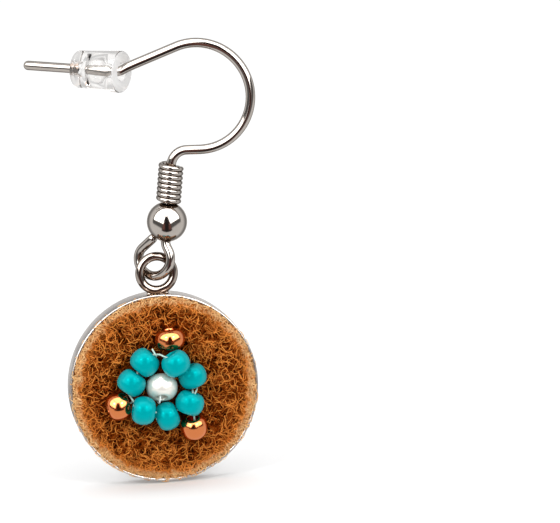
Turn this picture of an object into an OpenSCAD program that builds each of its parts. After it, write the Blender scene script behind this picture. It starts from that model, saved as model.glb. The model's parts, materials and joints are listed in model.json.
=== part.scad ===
// Beaded hook earring, in millimetres.
// The origin is the top of the bow, in the middle of the wire, where the earring hangs.
// X points right, Y to the back and Z up.

/* [Hook wire] */
// Diameter of the wire
wire_d = 0.72; // [0.66:0.02:0.74]
// Radius of the round bow, to the middle of the wire
bow_r = 3.95; // [3.9:0.05:4]
// Turn of the bow about the vertical, with its right side to the front
bow_yaw = 15; // [10:1:20]
// Length of the straight tail, up to its round tip
tail_length = 7.4; // [6.8:0.1:8]
// Length of the straight stem that carries the coil and the ball
stem_length = 5.65; // [5.6:0.01:5.7]
// Twist of the loop about the stem, which lets it pass through the ring
loop_twist = 27; // [25:1:29]

/* [Coil] */
// Diameter of the coil's wire
coil_wire_d = 0.37; // [0.33:0.01:0.38]
// Outer diameter of the coil
coil_d = 1.9; // [1.85:0.05:2]
// Number of turns
coil_turns = 8; // [6:1:8]
// Distance from one turn to the next
coil_pitch = 0.395; // [0.39:0.005:0.4]

/* [Ball] */
// Diameter of the ball
ball_d = 3; // [2.9:0.05:3]
// Diameter of the hole through it
ball_bore_d = 0.8; // [0.78:0.01:0.85]

/* [Stopper] */
// Length of the clear barrel
stopper_length = 3.7; // [3.4:0.1:4]
// Diameter of the face towards the bow
stopper_front_d = 3.1; // [2.9:0.1:3.3]
// Diameter of the end towards the tip
stopper_back_d = 2.75; // [2.5:0.05:2.9]
// Gap round the wire in the bore
stopper_fit = 0.02; // [0.015:0.005:0.05]

/* [Pendant] */
// Outer diameter of the bezel
bezel_d = 14; // [13.8:0.1:14.2]
// Depth of the bezel from its back to its rim
bezel_depth = 2.2; // [2:0.1:2.4]
// Thickness of the bezel's wall
bezel_wall = 0.2; // [0.18:0.01:0.22]
// Thickness of the bezel's floor
bezel_floor = 0.35; // [0.3:0.05:0.5]
// Outer diameter of the soldered ring
ring_d = 3.2; // [3.1:0.05:3.25]
// Diameter of the ring's wire
ring_wire_d = 0.67; // [0.62:0.01:0.68]
// Height of the felt's middle above the rim
felt_crown = 0.1; // [0:0.05:0.2]

/* [Beads] */
// Outer diameter of a petal bead
petal_d = 2.12; // [2.04:0.02:2.12]
// Length of a petal bead along its hole
petal_length = 1.64; // [1.52:0.04:1.64]
// Diameter of the pearl in the middle
pearl_d = 2.34; // [2.22:0.04:2.34]
// Diameter of the holes in the beads
bead_hole_d = 0.8; // [0.7:0.05:0.85]

/* [Hidden] */
curve_fn = 96;
wide_arc_fn = 720;

// Sweeps: sides of the wires and the turn from one ring to the next
hook_sides = 12;
hook_turn_step = 9;
coil_sides = 8;
coil_rings_per_turn = 20;

// Columns of a bending table. A radius of 0 marks a straight.
BEND_R = 0;
BEND_TURN = 1;
STRAIGHT = 2;
ROLL = 3;

// The wire from the top of the bow to the tip of the tail: [bend radius, turn, straight, roll before it]
tail_steps = [
  [bow_r, 20.5, 0, 0],
  [0, 0, 3.4, 0],
  [9, 6, 0, 0],
  [0.9, -35.5, 0, 37],
  [0, 0, tail_length, 0]
];

// The wire from the top of the bow to the free end of the loop, in the same columns
front_steps = [
  [bow_r, -180, 0, 0],
  [0, 0, 1, 0],
  [1.2, 82.5, 0, 0],
  [0, 0, stem_length, 0],
  [0.9, 38, 0, loop_twist],
  [0, 0, 0.2, 0],
  [1.16, -57, 0, 0],
  [1.55, -103, 0, 0],
  [1.1, -103, 0, 0],
  [0, 0, 1.15, 0]
];
stem_step = 3;
tail_step = 4;

// The tail's rod starts just past the bend and takes in the end of the swept wire, which is a little thinner
rod_from = 0.05;
rod_overlap = 0.12;
swept_share = 0.985;

// Angles of the rings that close a round wire end, from its last full ring to near its pole
tip_angles = [30, 60, 82];

// Places along the stem, from its upper end
coil_from = 0;
// Direction of the coil's two ends about the stem: 0 is towards the front, 180 is behind the stem
coil_start = 180;
ball_at = 4.28;

// The stopper's recess clears the sharp bend behind its face
recess_depth = 0.55;
recess_d = 1.35;
chamber_d = 1.7;
chamber_from = 1;
chamber_to = 2.8;
stopper_chamfer = 0.2;

// The ring's middle, and the drop from there to the middle of the bezel
ring_at = [-3.58, 1.26, -17.05];
ring_r = (ring_d - ring_wire_d) / 2;
ring_sink = 0.15;
bezel_drop = bezel_d / 2 + ring_d / 2 - ring_sink;
bezel_chamfer = 0.15;
solder_fillet_r = 0.15;
solder_inset = 0.05;
solder_thickness = 0.5;
solder_depth = 0.13;

// Felt pad in the cup
felt_gap = 0.04;
felt_sag = 0.25;
dimple_gap = 0.1;

// Columns of the beads' table: place from the middle of the bezel, height of the bead's middle above the
// rim, direction of its hole in the bezel's plane, and how far the hole tips up out of that plane
BX = 0;
BY = 1;
LIFT = 2;
SPIN = 3;
TIP = 4;
OD = 5;
LENGTH = 6;
petals = [
  [-1.5, 2.25, 1.24, 45, 0, petal_d + 0.06, petal_length + 0.06],
  [0.7, 2.15, 2.12, 119, 0, petal_d, petal_length],
  [1.99, 0.92, 1.06, 108, 0, petal_d, petal_length],
  [1.64, -0.98, 1.52, 68, 0, petal_d, petal_length],
  [-0.07, -1.89, 1.26, 19, 0, petal_d, petal_length],
  [-1.85, -1.2, 1.98, -10, 0, petal_d, petal_length],
  [-2.57, 0.81, 1.32, 52, 0, petal_d, petal_length]
];
pearl = [-0.33, 0.29, 1.15, -97, 35, pearl_d, 1.72];
accents = [
  [0.5, 3.79, 0.98, 93, 0, 2.26, 1.5],
  [-3.6, -0.92, 1.08, 11, 0, 2.1, 1.65],
  [1.9, -2.87, 1.03, 97, 22, 2.05, 1.65]
];
// Roundness of a bead's section: 1 is an ellipse, less is plumper
bead_power = 0.96;
bead_step = 10;
// A bead is longest at its lip, which rounds down into the hole
lip_width = 0.08;
lip_depth = 0.15;
lip_angles = [30, 60, 90];

// State of the wire at a point: place, heading, axis of the turns, and a mark across the wire
PLACE = 0;
HEADING = 1;
AXIS = 2;
MARK = 3;

bow_right = [cos(bow_yaw), -sin(bow_yaw), 0];
bow_axis = cross(bow_right, [0, 0, 1]);
to_front = [[0, 0, 0], bow_right, bow_axis, bow_axis];
to_tail = [[0, 0, 0], -bow_right, bow_axis, bow_axis];

function turned(v, axis, a) = v * cos(a) + cross(axis, v) * sin(a) + axis * (axis * v) * (1 - cos(a));

function rolled(s, a) = [s[PLACE], s[HEADING], turned(s[AXIS], s[HEADING], a), s[MARK]];

// State after a share of one step, from 0 to 1
function moved(s, step, share) =
  step[BEND_R] == 0
  ? [s[PLACE] + s[HEADING] * step[STRAIGHT] * share, s[HEADING], s[AXIS], s[MARK]]
  : let (
      a = step[BEND_TURN] * share,
      centre = s[PLACE] + sign(step[BEND_TURN]) * step[BEND_R] * cross(s[AXIS], s[HEADING])
    )
    [
      centre + turned(s[PLACE] - centre, s[AXIS], a),
      turned(s[HEADING], s[AXIS], a),
      s[AXIS],
      turned(s[MARK], s[AXIS], a)
    ];

// State at the end of the first steps of a table
function after(steps, s, count, i = 0) =
  i == count ? s : after(steps, moved(rolled(s, steps[i][ROLL]), steps[i], 1), count, i + 1);

function pieces(step) = step[BEND_R] == 0 ? 1 : ceil(abs(step[BEND_TURN]) / hook_turn_step);

// Every state that the swept wire passes in the first steps of a table
function states(steps, s, count) =
  [for (i = [0:count - 1])
    let (start = rolled(after(steps, s, i), steps[i][ROLL]), n = pieces(steps[i]))
    for (k = [1:n]) moved(start, steps[i], k / n)];

function reversed(list) = [for (i = [len(list) - 1:-1:0]) list[i]];

// A ring of points round the wire
function ring_points(s, along, r, sides) =
  [for (k = [0:sides - 1])
    let (a = 360 * k / sides)
    s[PLACE] + r * (cos(a) * s[MARK] + sin(a) * cross(along, s[MARK]))];

// Rings that close the wire's end with a round tip
function tip_rings(s, r, sides) =
  [for (a = tip_angles)
    ring_points([s[PLACE] + s[HEADING] * r * sin(a), s[HEADING], s[AXIS], s[MARK]], s[HEADING], r * cos(a), sides)];

stem_state = after(front_steps, to_front, stem_step);
tail_state = after(tail_steps, to_tail, tail_step);

// A closed tube through a list of rings
module tube(rings, sides) {
  n = len(rings);
  points = [for (ring = rings) for (p = ring) p];
  walls = [for (i = [0:n - 2]) for (k = [0:sides - 1])
    let (a = i * sides + k, b = i * sides + (k + 1) % sides)
    [a, a + sides, b + sides, b]];
  start_cap = [for (k = [0:sides - 1]) k];
  end_cap = [for (k = [sides - 1:-1:0]) (n - 1) * sides + k];
  polyhedron(points = points, faces = concat(walls, [start_cap], [end_cap]), convexity = 10);
}

// Sets children at a point of the wire, with +Z along its heading
module at(s) {
  across = cross(s[HEADING], s[MARK]);
  multmatrix([
    [s[MARK][0], across[0], s[HEADING][0], s[PLACE][0]],
    [s[MARK][1], across[1], s[HEADING][1], s[PLACE][1]],
    [s[MARK][2], across[2], s[HEADING][2], s[PLACE][2]],
    [0, 0, 0, 1]
  ]) children();
}

module at_pendant() {
  translate(ring_at - [0, 0, bezel_drop]) rotate([90, 0, 0]) children();
}

module ear_hook() {
  r = swept_share * wire_d / 2;
  tail_part = reversed(states(tail_steps, to_tail, tail_step));
  sunk = moved(tail_state, [0, 0, rod_from + rod_overlap, 0], 1);
  front_part = states(front_steps, to_front, len(front_steps));
  end_state = after(front_steps, to_front, len(front_steps));
  rings = concat(
    [for (s = concat([sunk], tail_part)) ring_points(s, -s[HEADING], r, hook_sides)],
    [for (s = concat([to_front], front_part)) ring_points(s, s[HEADING], r, hook_sides)],
    tip_rings(end_state, r, hook_sides)
  );
  color("silver") {
    tube(rings, hook_sides);
    at(tail_state) tail_rod();
  }
}

// Straight round rod with a rounded tip
module tail_rod() {
  r = wire_d / 2;
  rotate_extrude($fn = curve_fn) {
    translate([0, rod_from]) square([r, tail_length - rod_from]);
    intersection() {
      translate([0, tail_length]) circle(r, $fn = curve_fn);
      translate([0, tail_length - r]) square([r, 2 * r]);
    }
  }
}

module coil() {
  r = coil_wire_d / 2;
  coil_r = coil_d / 2 - r;
  n = coil_turns * coil_rings_per_turn;
  rise = coil_pitch * (coil_turns - 1) / n;
  slope = atan(rise * n / (360 * coil_turns * coil_r * PI / 180));
  rings = [for (i = [0:n])
    let (
      a = coil_start + 360 * i / coil_rings_per_turn,
      out = [cos(a), sin(a), 0],
      along = [-sin(a) * cos(slope), cos(a) * cos(slope), sin(slope)],
      place = [coil_r * cos(a), coil_r * sin(a), coil_from + rise * i]
    )
    ring_points([place, along, out, out], along, r, coil_sides)];
  color("silver") at(stem_state) tube(rings, coil_sides);
}

module ball() {
  color("silver") at(stem_state) translate([0, 0, ball_at]) difference() {
    sphere(d = ball_d, $fn = curve_fn);
    cylinder(h = 2 * ball_d, d = ball_bore_d, center = true, $fn = curve_fn);
  }
}

// Clear barrel on the tail: z = 0 is where the straight tail begins, behind the sharp bend
module stopper() {
  bore_r = wire_d / 2 + stopper_fit;
  front = -recess_depth;
  back = front + stopper_length;
  front_r = stopper_front_d / 2;
  back_r = stopper_back_d / 2;
  color("white", 0.4) at(tail_state) rotate_extrude($fn = curve_fn) polygon([
    [recess_d / 2, front],
    [front_r - stopper_chamfer / 2, front],
    [front_r, front + stopper_chamfer],
    [back_r, back - stopper_chamfer],
    [back_r - stopper_chamfer, back],
    [bore_r, back],
    [bore_r, front + chamber_to + stopper_chamfer],
    [chamber_d / 2, front + chamber_to],
    [chamber_d / 2, front + chamber_from + stopper_chamfer],
    [bore_r, front + chamber_from],
    [bore_r, 0]
  ]);
}

module bezel() {
  color("silver") at_pendant() {
    bezel_cup();
    translate([0, bezel_drop, 0]) rotate_extrude($fn = curve_fn)
      translate([ring_r, 0]) circle(d = ring_wire_d, $fn = curve_fn);
    translate([0, 0, -solder_thickness / 2]) linear_extrude(solder_thickness) solder();
  }
}

module bezel_cup() {
  r = bezel_d / 2;
  back = -bezel_depth / 2;
  rotate_extrude($fn = 2 * curve_fn) polygon([
    [0, back],
    [r - bezel_chamfer, back],
    [r, back + bezel_chamfer],
    [r, bezel_depth / 2],
    [r - bezel_wall, bezel_depth / 2],
    [r - bezel_wall, back + bezel_floor],
    [0, back + bezel_floor]
  ]);
}

// Solder in the two corners between the ring and the wall, with a round fillet on each side
module solder() {
  to_bezel = bezel_d / 2 + solder_fillet_r - solder_inset;
  to_ring = ring_d / 2 + solder_fillet_r - solder_inset;
  spread = acos((to_ring * to_ring + bezel_drop * bezel_drop - to_bezel * to_bezel) / (2 * to_ring * bezel_drop));
  corner = [to_ring * sin(spread), bezel_drop - to_ring * cos(spread)];
  root = bezel_d / 2 - solder_depth;
  difference() {
    polygon([[0, bezel_drop], corner, [0, root], [-corner[0], corner[1]]]);
    translate([0, bezel_drop]) circle(ring_r, $fn = curve_fn);
    for (side = [-1, 1]) translate([side * corner[0], corner[1]]) circle(solder_fillet_r, $fn = curve_fn);
  }
}

// Felt disc with a crowned face, dented where the beads press into it
module felt_pad() {
  r = bezel_d / 2 - bezel_wall - felt_gap;
  back = -bezel_depth / 2 + bezel_floor + felt_gap;
  top = bezel_depth / 2 + felt_crown;
  crown_r = (r * r + felt_sag * felt_sag) / (2 * felt_sag);
  color("sienna") at_pendant() difference() {
    rotate_extrude($fn = 2 * curve_fn) intersection() {
      translate([0, back]) square([r, top - back + 1]);
      translate([0, top - crown_r]) circle(crown_r, $fn = wide_arc_fn);
    }
    for (b = concat(petals, [pearl], accents)) at_bead(b) sphere(d = b[OD] + 2 * dimple_gap, $fn = curve_fn);
  }
}

module at_bead(b) {
  translate([b[BX], b[BY], bezel_depth / 2 + b[LIFT]]) rotate([0, 90 - b[TIP], b[SPIN]]) children();
}

// Drilled bead: a plump half oval turned round its hole, with a rounded lip at both ends
module bead(b) {
  lip_r = bead_hole_d / 2 + lip_width;
  wall = b[OD] / 2 - lip_r;
  tall = b[LENGTH] / 2;
  lip = [for (a = lip_angles) [lip_r - lip_width * sin(a), tall - lip_depth * (1 - cos(a))]];
  at_pendant() at_bead(b) rotate_extrude($fn = curve_fn) polygon(concat(
    [for (a = [-90:bead_step:90])
      [lip_r + wall * pow(abs(cos(a)), bead_power), tall * sign(a) * pow(abs(sin(a)), bead_power)]],
    lip,
    reversed([for (p = lip) [p[0], -p[1]]])
  ));
}

module petal_bead(i) {
  color("darkturquoise") bead(petals[i - 1]);
}

module center_bead() {
  color("ivory") bead(pearl);
}

module accent_bead(i) {
  color("peru") bead(accents[i - 1]);
}

ear_hook();
coil();
ball();
stopper();
bezel();
felt_pad();
center_bead();
for (i = [1:len(petals)]) petal_bead(i);
for (i = [1:len(accents)]) accent_bead(i);
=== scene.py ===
"""Beaded hook earring: ear hook, clear stopper, coil and ball, and a swinging felt pendant with sewn beads.

Lengths are in metres, apart from the tables that say millimetres. X points right, Y to the back and Z up.
The origin is the top of the bow, in the middle of the wire.
"""

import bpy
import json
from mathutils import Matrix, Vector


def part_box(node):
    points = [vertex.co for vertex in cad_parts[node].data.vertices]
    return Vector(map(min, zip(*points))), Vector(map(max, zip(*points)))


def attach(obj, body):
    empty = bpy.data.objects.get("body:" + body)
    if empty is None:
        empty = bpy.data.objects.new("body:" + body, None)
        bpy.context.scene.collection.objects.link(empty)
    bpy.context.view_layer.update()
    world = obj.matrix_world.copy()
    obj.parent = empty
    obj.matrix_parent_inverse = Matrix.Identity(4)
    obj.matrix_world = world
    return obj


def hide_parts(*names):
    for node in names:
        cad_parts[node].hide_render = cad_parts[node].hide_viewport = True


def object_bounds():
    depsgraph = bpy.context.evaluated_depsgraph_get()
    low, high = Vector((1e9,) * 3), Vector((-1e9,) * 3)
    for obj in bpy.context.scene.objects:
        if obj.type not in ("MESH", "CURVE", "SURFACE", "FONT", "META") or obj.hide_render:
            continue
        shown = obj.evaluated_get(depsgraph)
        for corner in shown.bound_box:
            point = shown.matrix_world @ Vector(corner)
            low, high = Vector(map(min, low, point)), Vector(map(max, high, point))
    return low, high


bl_info = {
    "name": "Beaded Hook Earring",
    "version": (1, 0, 0),
    "blender": (4, 5, 0),
    "location": "3D View > Sidebar > Earring",
    "description": "Dresses the earring with polished wire, clear plastic, wool felt and sewn glass beads",
    "category": "Object",
}

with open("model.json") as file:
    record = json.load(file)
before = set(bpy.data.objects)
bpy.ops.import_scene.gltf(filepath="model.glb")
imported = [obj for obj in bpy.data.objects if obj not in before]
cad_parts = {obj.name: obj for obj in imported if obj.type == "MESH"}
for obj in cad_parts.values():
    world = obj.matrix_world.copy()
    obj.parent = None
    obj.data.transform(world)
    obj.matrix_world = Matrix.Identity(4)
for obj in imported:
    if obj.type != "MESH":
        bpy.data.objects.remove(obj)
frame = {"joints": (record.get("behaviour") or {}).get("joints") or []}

import json
import math

import bmesh
import bpy
from bpy.props import FloatProperty, FloatVectorProperty, IntProperty, PointerProperty
from mathutils import Matrix, Vector, noise

CAD_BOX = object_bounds()
MM = 0.001
HOOK, STOPPER, PENDANT = "hook", "clear_stopper", "pendant"


# Places that the frame gives

def joint(name):
    return next(j for j in frame["joints"] if j["name"] == name)


def span(node):
    low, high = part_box(node)
    return high - low


def middle(node):
    low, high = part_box(node)
    return (low + high) / 2


RING_MIDDLE = Vector(joint("pendant_swing")["pos_m"])
BEZEL_D = span("bezel").x
BEZEL_DEPTH = span("bezel").y
BEZEL_MIDDLE = Vector((middle("bezel").x, middle("bezel").y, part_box("bezel")[0].z + BEZEL_D / 2))
RING_D = 2 * (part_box("bezel")[1].z - RING_MIDDLE.z)
BALL_MIDDLE = middle("ball")


# Sizes and colours that a user would change

def length(text, default):
    return FloatProperty(name=text, description=text, default=default, min=0.0, max=1.0, subtype="DISTANCE",
                         unit="LENGTH", precision=5)


def colour(text, default):
    return FloatVectorProperty(name=text, description=text + ", linear", default=default, min=0.0, max=1.0,
                               size=3, subtype="COLOR")


def brightness(name, text, default):
    return FloatProperty(name=name, description=text, default=default, min=0.0)


class EARRING_PG_wire(bpy.types.PropertyGroup):
    """Sizes of the hook's wire, the coil, the ball and the stopper"""

    wire_d: length("Diameter of the hook's wire", 0.72 * MM)
    sides: IntProperty(name="Sides of the wire", description="Sides of the wire's section", default=24, min=8)
    coil_wire_d: length("Diameter of the coil's wire", 0.37 * MM)
    coil_d: length("Outer diameter of the coil", 1.9 * MM)
    coil_turns: IntProperty(name="Turns of the coil", description="Number of turns", default=8, min=2)
    coil_pitch: length("Distance from one turn to the next", 0.395 * MM)
    ball_d: length("Diameter of the ball", 3.0 * MM)
    ball_bore_d: length("Diameter of the hole through the ball", 0.8 * MM)
    stopper_length: length("Length of the clear barrel", 3.7 * MM)
    stopper_front_d: length("Diameter of the barrel's face", 3.1 * MM)
    stopper_back_d: length("Diameter of the barrel's far end", 2.75 * MM)
    steel: colour("Colour of the steel", (0.5, 0.465, 0.435))
    plastic: colour("Colour of the clear plastic", (0.93, 0.925, 0.92))


class EARRING_PG_pendant(bpy.types.PropertyGroup):
    """Sizes of the bezel and its ring, and the look of the felt"""

    bezel_d: length("Outer diameter of the bezel", BEZEL_D)
    bezel_depth: length("Depth of the bezel", BEZEL_DEPTH)
    wall: length("Thickness of the bezel's wall", 0.2 * MM)
    floor: length("Thickness of the bezel's floor", 0.35 * MM)
    ring_d: length("Outer diameter of the soldered ring", RING_D)
    ring_wire_d: length("Diameter of the ring's wire", 0.67 * MM)
    steel: colour("Colour of the brushed steel", (0.52, 0.49, 0.475))
    crown: length("Height of the felt's middle above the rim", 0.1 * MM)
    sag: length("Drop of the felt from its middle to its edge", 0.25 * MM)
    fibre_d: length("Thickness of a wool fibre", 0.05 * MM)
    wool_share: FloatProperty(name="Share of the wool", description="Share of the fibres that are made",
                              default=1.0, min=0.01, max=1.0)
    # Painted shade: the darkest tone of the wool, in its depth and in the gaps of the felt
    wool_dark: colour("Colour of the wool's shaded roots", (0.025, 0.004, 0.0002))
    wool: colour("Colour of the wool", (0.33, 0.06, 0.003))
    # Painted light: the pale tone of the wool's tips and upper fibres, and of the felt's rim band
    wool_lit: colour("Colour of the wool's bright tips", (0.92, 0.33, 0.06))
    # Painted light: the palest tone of the wool along the rim
    wool_rim_lit: colour("Colour of the wool along the rim", (1.0, 0.66, 0.31))


class EARRING_PG_beads(bpy.types.PropertyGroup):
    """Sizes and colours of the beads and their thread"""

    hole_d: length("Diameter of the beads' holes", 0.8 * MM)
    lip_width: length("Width of the rounding at the holes' mouths", 0.08 * MM)
    lip_depth: length("Depth of the rounding at the holes' mouths", 0.15 * MM)
    thread_d: length("Thickness of the thread", 0.13 * MM)
    turquoise: colour("Colour of the petal beads", (0.0, 0.335, 0.36))
    pearl: colour("Colour of the pearl bead", (0.92, 0.89, 0.82))
    copper: colour("Colour of the copper beads", (0.7, 0.215, 0.065))
    thread: colour("Colour of the thread", (0.55, 0.76, 0.68))


class EARRING_PG_stage(bpy.types.PropertyGroup):
    """Floor and light"""

    floor: colour("Colour of the floor", (0.93, 0.93, 0.93))
    dome: brightness("Dome light", "Strength of the light from all round", 0.5)
    zenith: brightness("Top light", "Strength of the light from above", 1.2)
    room: brightness("Room", "Brightness of the room in mirrors", 0.95)
    panels: brightness("Panels", "Brightness of the panels in mirrors", 4.8)
    lamps: brightness("Lamps", "Brightness of the two soft lamps", 15.5)


GROUPS = {
    "earring_wire": EARRING_PG_wire,
    "earring_pendant": EARRING_PG_pendant,
    "earring_beads": EARRING_PG_beads,
    "earring_stage": EARRING_PG_stage,
}


# Node trees

def put(tree, kind, inputs=None, **settings):
    """Adds a node with its settings, and gives its inputs a value or a link."""
    made = tree.nodes.new(kind)
    for name, value in settings.items():
        setattr(made, name, value)
    for name, value in (inputs or {}).items():
        socket = made.inputs[name]
        if isinstance(value, bpy.types.NodeSocket):
            tree.links.new(value, socket)
        else:
            socket.default_value = value
    return made


def out(made, name=0):
    return made.outputs[name]


def maths(tree, operation, *values):
    """Scalar maths: one number or socket for each input."""
    return out(put(tree, "ShaderNodeMath", dict(enumerate(values)), operation=operation))


def added(tree, one, two):
    return maths(tree, "ADD", one, two)


def less(tree, one, two):
    return maths(tree, "SUBTRACT", one, two)


def times(tree, one, two):
    return maths(tree, "MULTIPLY", one, two)


def vector_maths(tree, operation, *values, result=0):
    return out(put(tree, "ShaderNodeVectorMath", dict(enumerate(values)), operation=operation), result)


def dot(tree, one, two):
    return vector_maths(tree, "DOT_PRODUCT", one, two, result="Value")


def scaled(tree, vector, factor):
    return out(put(tree, "ShaderNodeVectorMath", {0: vector, "Scale": factor}, operation="SCALE"))


def opaque(tint):
    """A colour with its alpha, or the socket that gives it."""
    return tint if isinstance(tint, bpy.types.NodeSocket) else (*tint, 1.0)


def mixed(tree, factor, first, second):
    """Mixes two colours."""
    made = put(tree, "ShaderNodeMix", {0: factor, 6: opaque(first), 7: opaque(second)}, data_type="RGBA")
    return out(made, 2)


def eased(tree, value, low, high, to_low=0.0, to_high=1.0):
    """Smooth step of a value from one range to another."""
    return out(put(tree, "ShaderNodeMapRange", {
        "Value": value, "From Min": low, "From Max": high, "To Min": to_low, "To Max": to_high,
    }, interpolation_type="SMOOTHSTEP"))


def noise_at(tree, vector, scale, detail=3.0, roughness=0.5):
    return out(put(tree, "ShaderNodeTexNoise", {
        "Vector": vector, "Scale": scale, "Detail": detail, "Roughness": roughness,
    }))


def bumped(tree, height, strength, distance):
    return out(put(tree, "ShaderNodeBump", {"Height": height, "Strength": strength, "Distance": distance}))


# Materials

class Finish:
    """A material being made: its tree, its shader and the object's coordinates."""

    def __init__(self, name, **uniform):
        self.material = bpy.data.materials.new(name)
        self.material.use_nodes = True
        self.tree = self.material.node_tree
        self.tree.nodes.clear()
        self.shader = put(self.tree, "ShaderNodeBsdfPrincipled")
        for socket, value in uniform.items():
            self.shader.inputs[socket.replace("_", " ")].default_value = value
        self.output = put(self.tree, "ShaderNodeOutputMaterial", {"Surface": out(self.shader)})
        self.place = out(put(self.tree, "ShaderNodeTexCoord"), "Object")

    def feed(self, **sockets):
        for socket, value in sockets.items():
            self.tree.links.new(value, self.shader.inputs[socket.replace("_", " ")])
        return self.material


def shaded(tint, share):
    """A colour made darker, or lighter where the share is above 1."""
    return [min(1.0, c * share) for c in tint]


def from_axis(tree, local):
    """How far a point, given from the bezel's middle, lies from the bezel's axis."""
    flat = vector_maths(tree, "MULTIPLY", local, (1.0, 0.0, 1.0))
    return vector_maths(tree, "LENGTH", flat, result="Value")


def steel_finish(name, tint, rough):
    """Polished steel with faint drawing marks, and soft smudges that are a little darker and duller."""
    look = Finish(name, Metallic=1.0)
    tree = look.tree
    smudge = noise_at(tree, look.place, scale=900.0, detail=4.0)
    marks = noise_at(tree, look.place, scale=9000.0)
    level = added(tree, times(tree, smudge, rough * 0.9), rough * 0.45)
    level = added(tree, level, times(tree, marks, rough * 0.5))
    tone = mixed(tree, eased(tree, smudge, 0.35, 0.75), tint, shaded(tint, 0.93))
    bump = bumped(tree, marks, strength=0.12, distance=0.004 * MM)
    return look.feed(Base_Color=tone, Roughness=level, Normal=bump)


def bezel_finish(tint):
    """Steel with fine turned lines on the tray. The ring and its solder are polished, and tinted darker and
    warmer as painted dark reflection.
    """
    look = Finish("bezel_steel", Metallic=1.0)
    tree = look.tree
    local = vector_maths(tree, "SUBTRACT", look.place, BEZEL_MIDDLE)
    parts = put(tree, "ShaderNodeSeparateXYZ", {"Vector": local})
    lines_at = put(tree, "ShaderNodeCombineXYZ", {
        "X": times(tree, maths(tree, "ARCTAN2", out(parts, "X"), out(parts, "Z")), 1.5),
        "Y": times(tree, out(parts, "Y"), 9000.0),
        "Z": times(tree, from_axis(tree, local), 5000.0),
    })
    lines = noise_at(tree, out(lines_at), scale=3.0)
    smudge = noise_at(tree, look.place, scale=700.0, detail=4.0)
    from_ring = vector_maths(tree, "DISTANCE", look.place, RING_MIDDLE, result="Value")
    brushed = eased(tree, from_ring, RING_D / 2 + 0.05 * MM, RING_D / 2 + 0.3 * MM)
    rough = added(tree, times(tree, smudge, 0.16), times(tree, lines, 0.12))
    rough = times(tree, added(tree, rough, 0.13), maths(tree, "MULTIPLY_ADD", brushed, 0.7, 0.3))
    wall = mixed(tree, eased(tree, smudge, 0.45, 0.7), tint, shaded(tint, 0.85))
    # The ring's darker, warmer tint is painted dark reflection of its polish
    ring = [c * share for c, share in zip(tint, (0.74, 0.69, 0.64))]
    bump = bumped(tree, times(tree, lines, brushed), strength=0.25, distance=0.006 * MM)
    return look.feed(Base_Color=mixed(tree, brushed, ring, wall), Roughness=rough, Normal=bump)


def plastic_finish(tint):
    """Clear moulded plastic with faint flow ripples, frosted where the face was cut."""
    look = Finish("clear_plastic", IOR=1.42)
    tree = look.tree
    tail = tail_start()
    along = dot(tree, vector_maths(tree, "SUBTRACT", look.place, tail.place), tail.heading)
    face = eased(tree, along, -RECESS_DEPTH + 0.06 * MM, -RECESS_DEPTH + 0.02 * MM)
    ripple = noise_at(tree, look.place, scale=1100.0, detail=2.0)
    grain = noise_at(tree, look.place, scale=7000.0, detail=4.0)
    clear = less(tree, 1.0, times(tree, face, 0.7))
    rough = added(tree, times(tree, face, 0.5), times(tree, grain, 0.05))
    height = added(tree, times(tree, ripple, 0.25), times(tree, grain, face))
    tone = mixed(tree, face, tint, shaded(tint, 0.9))
    bump = bumped(tree, height, strength=0.2, distance=0.02 * MM)
    return look.feed(Base_Color=tone, Roughness=rough, Transmission_Weight=clear, Normal=bump)


def over_felt(look, sizes):
    """How far out on the felt a point lies, 0 to 1 at the rim, and its height over the felt's face in mm.

    The first is a little uneven, so that the colours along the rim have no sharp border.
    """
    tree = look.tree
    local = vector_maths(tree, "SUBTRACT", look.place, BEZEL_MIDDLE)
    outward = maths(tree, "DIVIDE", from_axis(tree, local), BEZEL_D / 2)
    front = out(put(tree, "ShaderNodeSeparateXYZ", {"Vector": local}), "Y")
    fall = times(tree, times(tree, outward, outward), sizes.sag / MM)
    height = less(tree, times(tree, front, -1.0 / MM), (BEZEL_DEPTH / 2 + sizes.crown) / MM)
    patches = noise_at(tree, look.place, scale=1300.0, detail=4.0, roughness=0.65)
    uneven = maths(tree, "MULTIPLY_ADD", patches, 0.22, -0.11)
    return added(tree, outward, uneven), added(tree, height, fall)


def painted_rim_light(tree, outward, body, sizes, tone):
    """Paints light on the wool towards the rim, some fibres more than others."""
    share = maths(tree, "MULTIPLY_ADD", tone, 0.8, 0.4)
    light = times(tree, eased(tree, outward, 0.8, 0.93), share)
    pale = times(tree, eased(tree, outward, 0.88, 0.94), share)
    return mixed(tree, pale, mixed(tree, light, body, sizes.wool_lit), sizes.wool_rim_lit)


def felt_finish(sizes):
    """Matted wool under the fibres: dark, its darkest patches painted shade of the gaps, with paler tufts and
    an orange band of painted light along the rim.
    """
    look = Finish("felt_body", Roughness=0.95, Specular_IOR_Level=0.03)
    tree = look.tree
    matted = noise_at(tree, look.place, scale=2600.0, detail=5.0, roughness=0.65)
    # Patches of the wool's colour and of its darkest tone, which is painted shade of the gaps
    tone = mixed(tree, eased(tree, matted, 0.42, 0.75), sizes.wool_dark, sizes.wool)
    tufts = eased(tree, matted, 0.4, 0.6, 0.3, 1.0)
    # A pale band of painted light along the rim, broken up by the tufts
    edge = times(tree, eased(tree, over_felt(look, sizes)[0], 0.84, 0.96), tufts)
    bump = bumped(tree, matted, strength=0.9, distance=0.08 * MM)
    return look.feed(Base_Color=mixed(tree, edge, tone, sizes.wool_lit), Normal=bump)


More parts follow.
